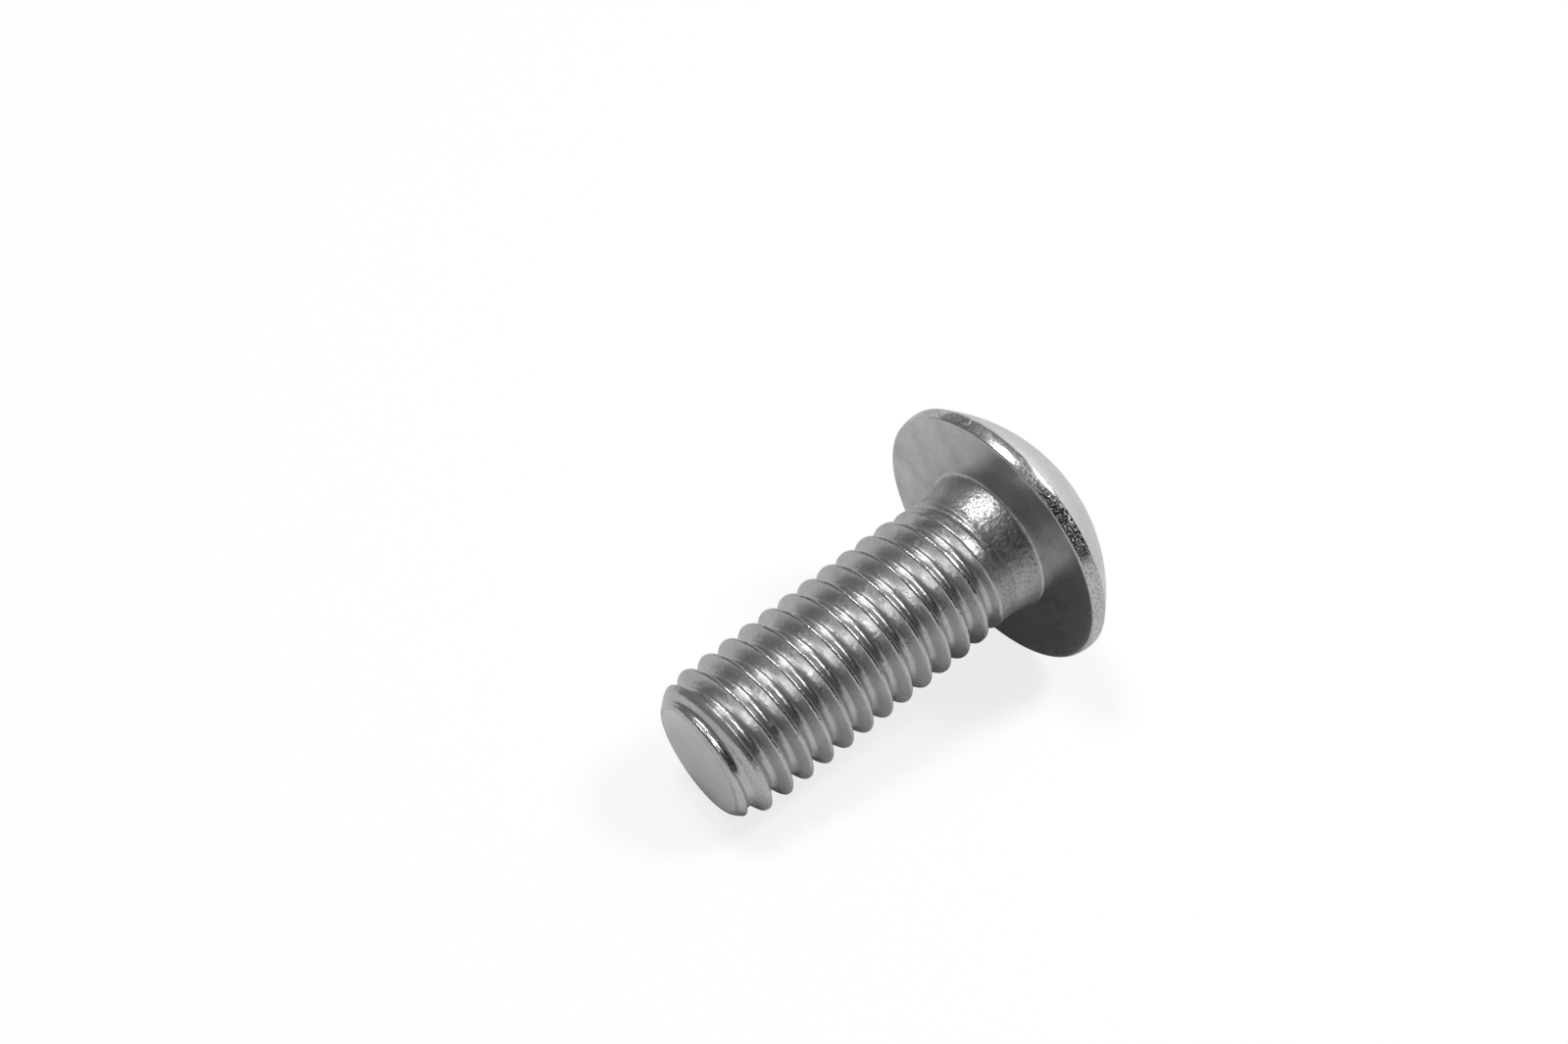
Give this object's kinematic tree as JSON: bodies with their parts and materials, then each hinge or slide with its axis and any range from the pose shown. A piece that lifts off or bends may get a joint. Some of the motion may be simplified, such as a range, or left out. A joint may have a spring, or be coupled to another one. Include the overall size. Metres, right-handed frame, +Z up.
{
  "type": "button head screw",
  "caption": "Stainless button head screw with a hexagon socket, a thin wide domed head and a fully threaded short shank.",
  "frame": {"origin": "middle of the bearing face under the head, on the screw's axis", "axes": "+Z up as the screw lies on a table, on the rim of its head and on one crest near the tip; the screw's axis is in the XZ plane and +X points towards the tip, which leans 11.04 degrees down"},
  "size_m": [0.0149, 0.0092, 0.0091],
  "materials": {
    "stainless_steel": "bright cold-forged and thread-rolled stainless steel with a fine satin grain"
  },
  "bodies": {
    "root": {"button_head_screw": "stainless_steel"}
  },
  "joints": []
}
